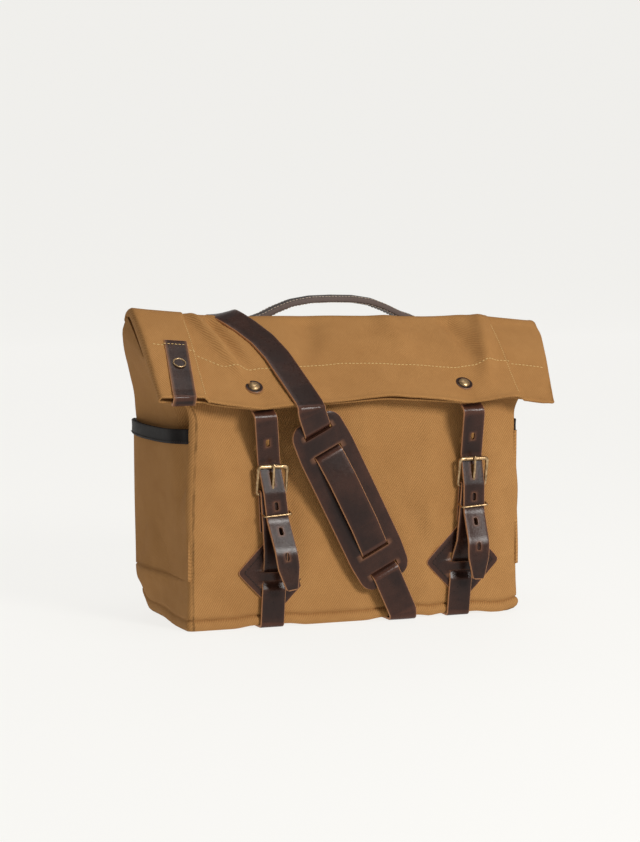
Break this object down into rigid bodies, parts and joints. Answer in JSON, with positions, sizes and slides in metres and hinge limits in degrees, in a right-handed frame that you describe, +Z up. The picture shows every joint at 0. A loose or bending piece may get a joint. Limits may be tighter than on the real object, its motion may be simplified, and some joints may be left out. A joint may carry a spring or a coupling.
{
  "type": "saddlebag",
  "caption": "Canvas roll-top saddlebag with leather closure straps, brass buckles, side pockets, a top handle and a shoulder strap with a pad.",
  "frame": {"origin": "on the surface that the bag stands on, under the middle of its base", "axes": "+X along the width to the right of the front, -Y out of the front, +Z up"},
  "size_m": [0.434, 0.2003, 0.3225],
  "materials": {
    "canvas": "tan cotton twill",
    "leather_strap": "glossy dark brown oiled leather",
    "leather_edge": "near-black binding leather",
    "leather_handle": "dark grey-brown stitched leather",
    "aged_brass": "antique, worn"
  },
  "bodies": {
    "bag": {"back_panel": "canvas", "back_welt": "canvas", "base_panel": "canvas", "front_panel": "canvas", "front_welt": "canvas", "left_buckle_strap": "leather_strap", "left_gusset": "canvas", "left_handle_lug": "aged_brass", "left_patch": "leather_strap", "left_pocket": "canvas", "left_pocket_binding": "leather_edge", "lower_ring": "aged_brass", "lower_ring_tab": "leather_strap", "right_buckle_strap": "leather_strap", "right_gusset": "canvas", "right_handle_lug": "aged_brass", "right_patch": "leather_strap", "right_pocket": "canvas", "right_pocket_binding": "leather_edge", "sling_back_top": "leather_strap", "sling_under": "leather_strap", "upper_ring": "aged_brass", "upper_ring_tab": "leather_strap"},
    "flap": {"flap_outer": "canvas", "flap_inner": "canvas", "left_flap_side": "canvas", "right_flap_side": "canvas", "name_tab": "leather_strap", "tab_ring": "aged_brass", "left_stud": "aged_brass", "left_stud_washer": "leather_strap", "left_stud_burr": "aged_brass", "left_billet_root": "leather_strap", "right_stud": "aged_brass", "right_stud_washer": "leather_strap", "right_stud_burr": "aged_brass", "right_billet_root": "leather_strap"},
    "sling_lower": {"sling_front": "leather_strap", "shoulder_pad": "leather_strap"},
    "sling_upper": {"sling_over_flap": "leather_strap"},
    "handle": {"handle_strap": "leather_handle", "left_handle_foot": "aged_brass", "right_handle_foot": "aged_brass"},
    "left_billet": {"left_billet": "leather_strap"},
    "left_buckle": {"left_buckle_frame": "aged_brass"},
    "left_prong": {"left_prong": "aged_brass"},
    "left_keeper": {"left_keeper": "aged_brass"},
    "right_billet": {"right_billet": "leather_strap"},
    "right_buckle": {"right_buckle_frame": "aged_brass"},
    "right_prong": {"right_prong": "aged_brass"},
    "right_keeper": {"right_keeper": "aged_brass"}
  },
  "joints": [
    {"name": "flap_lift", "type": "hinge", "parent": "bag", "child": "flap", "pos_m": [0, 0.006, 0.292], "axis": [-1, 0, 0], "range_deg": [0, 80], "deforming": ["left_billet", "right_billet"]},
    {"name": "sling_fall", "type": "hinge", "parent": "bag", "child": "sling_lower", "pos_m": [0.046, -0.086, 0.005], "axis": [1, 0, 0], "range_deg": [0, 80]},
    {"name": "sling_knee", "type": "hinge", "parent": "sling_lower", "child": "sling_upper", "pos_m": [-0.066, -0.1085, 0.2185], "axis": [1, 0, 0], "range_deg": [0, 80]},
    {"name": "handle_fold", "type": "hinge", "parent": "bag", "child": "handle", "pos_m": [0.012, 0.03253, 0.2938], "axis": [-1, 0, 0], "range_deg": [0, 90]},
    {"name": "left_billet_hang", "type": "hinge", "parent": "flap", "child": "left_billet", "pos_m": [-0.096, -0.0947, 0.2187], "axis": [1, 0, 0], "range_deg": [0, 80]},
    {"name": "left_buckle_swing", "type": "hinge", "parent": "bag", "child": "left_buckle", "pos_m": [-0.096, -0.0803, 0.134], "axis": [1, 0, 0], "range_deg": [0, 45]},
    {"name": "left_prong_swing", "type": "hinge", "parent": "left_buckle", "child": "left_prong", "pos_m": [-0.096, -0.0803, 0.134], "axis": [1, 0, 0], "range_deg": [0, 45]},
    {"name": "left_keeper_slide", "type": "slide", "parent": "bag", "child": "left_keeper", "axis": [0, 0, 1], "range_m": [-0.006, 0.007]},
    {"name": "right_billet_hang", "type": "hinge", "parent": "flap", "child": "right_billet", "pos_m": [0.118, -0.0947, 0.2187], "axis": [1, 0, 0], "range_deg": [0, 80]},
    {"name": "right_buckle_swing", "type": "hinge", "parent": "bag", "child": "right_buckle", "pos_m": [0.118, -0.0803, 0.134], "axis": [1, 0, 0], "range_deg": [0, 45]},
    {"name": "right_prong_swing", "type": "hinge", "parent": "right_buckle", "child": "right_prong", "pos_m": [0.118, -0.0803, 0.134], "axis": [1, 0, 0], "range_deg": [0, 45]},
    {"name": "right_keeper_slide", "type": "slide", "parent": "bag", "child": "right_keeper", "axis": [0, 0, 1], "range_m": [-0.006, 0.007]}
  ],
  "couplings": [
    {"joint": "sling_fall", "follows": "flap_lift", "ratio": 1},
    {"joint": "sling_knee", "follows": "flap_lift", "ratio": 0.8},
    {"joint": "left_billet_hang", "follows": "flap_lift", "ratio": 1},
    {"joint": "right_billet_hang", "follows": "flap_lift", "ratio": 1}
  ]
}
